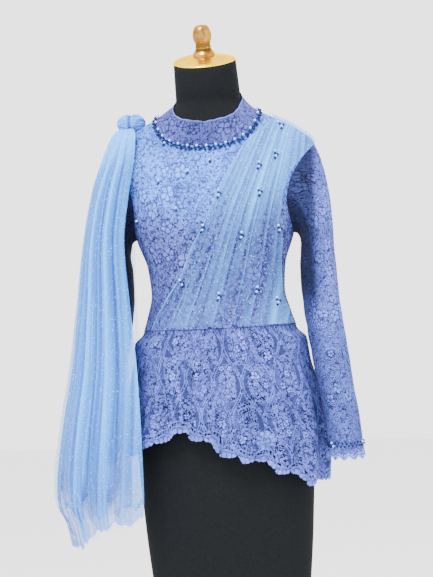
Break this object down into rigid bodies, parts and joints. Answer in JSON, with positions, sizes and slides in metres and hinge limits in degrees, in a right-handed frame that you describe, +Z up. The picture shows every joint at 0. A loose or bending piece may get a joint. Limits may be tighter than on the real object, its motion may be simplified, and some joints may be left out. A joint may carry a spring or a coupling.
{
  "type": "lace kebaya blouse on a limbless dress form",
  "caption": "Fitted lace kebaya blouse with stand collar, long sleeves, scalloped peplum, pleated shoulder drape, pompom and hanging tulle, standing on a limbless dress form.",
  "frame": {"origin": "centre of the stand base's underside, on the floor", "axes": "+Z up, the garment's front towards -Y, the wearer's left side towards +X"},
  "size_m": [0.6075, 0.34, 1.5602],
  "materials": {
    "lace": "corded guipure-style lace over a knitted lining, matte",
    "tulle": "soft glitter tulle, sheer",
    "form_cloth": "black knitted cover, matte",
    "gold_metal": "turned, satin gold lacquer",
    "stand_steel": "black powder coat"
  },
  "bodies": {
    "root": {"bodice_front": "lace", "bodice_back_left": "lace", "bodice_back_right": "lace", "collar": "lace", "sleeve_left": "lace", "sleeve_right": "lace", "cuff_trim_left": "lace", "cuff_trim_right": "lace", "peplum_front": "lace", "peplum_back_left": "lace", "peplum_back_right": "lace", "front_drape": "tulle", "tulle_front": "tulle", "tulle_back": "tulle", "pompom": "tulle", "form_torso": "form_cloth", "neck_cap": "gold_metal", "finial": "gold_metal", "stand_pole": "stand_steel", "stand_base": "stand_steel"}
  },
  "joints": []
}
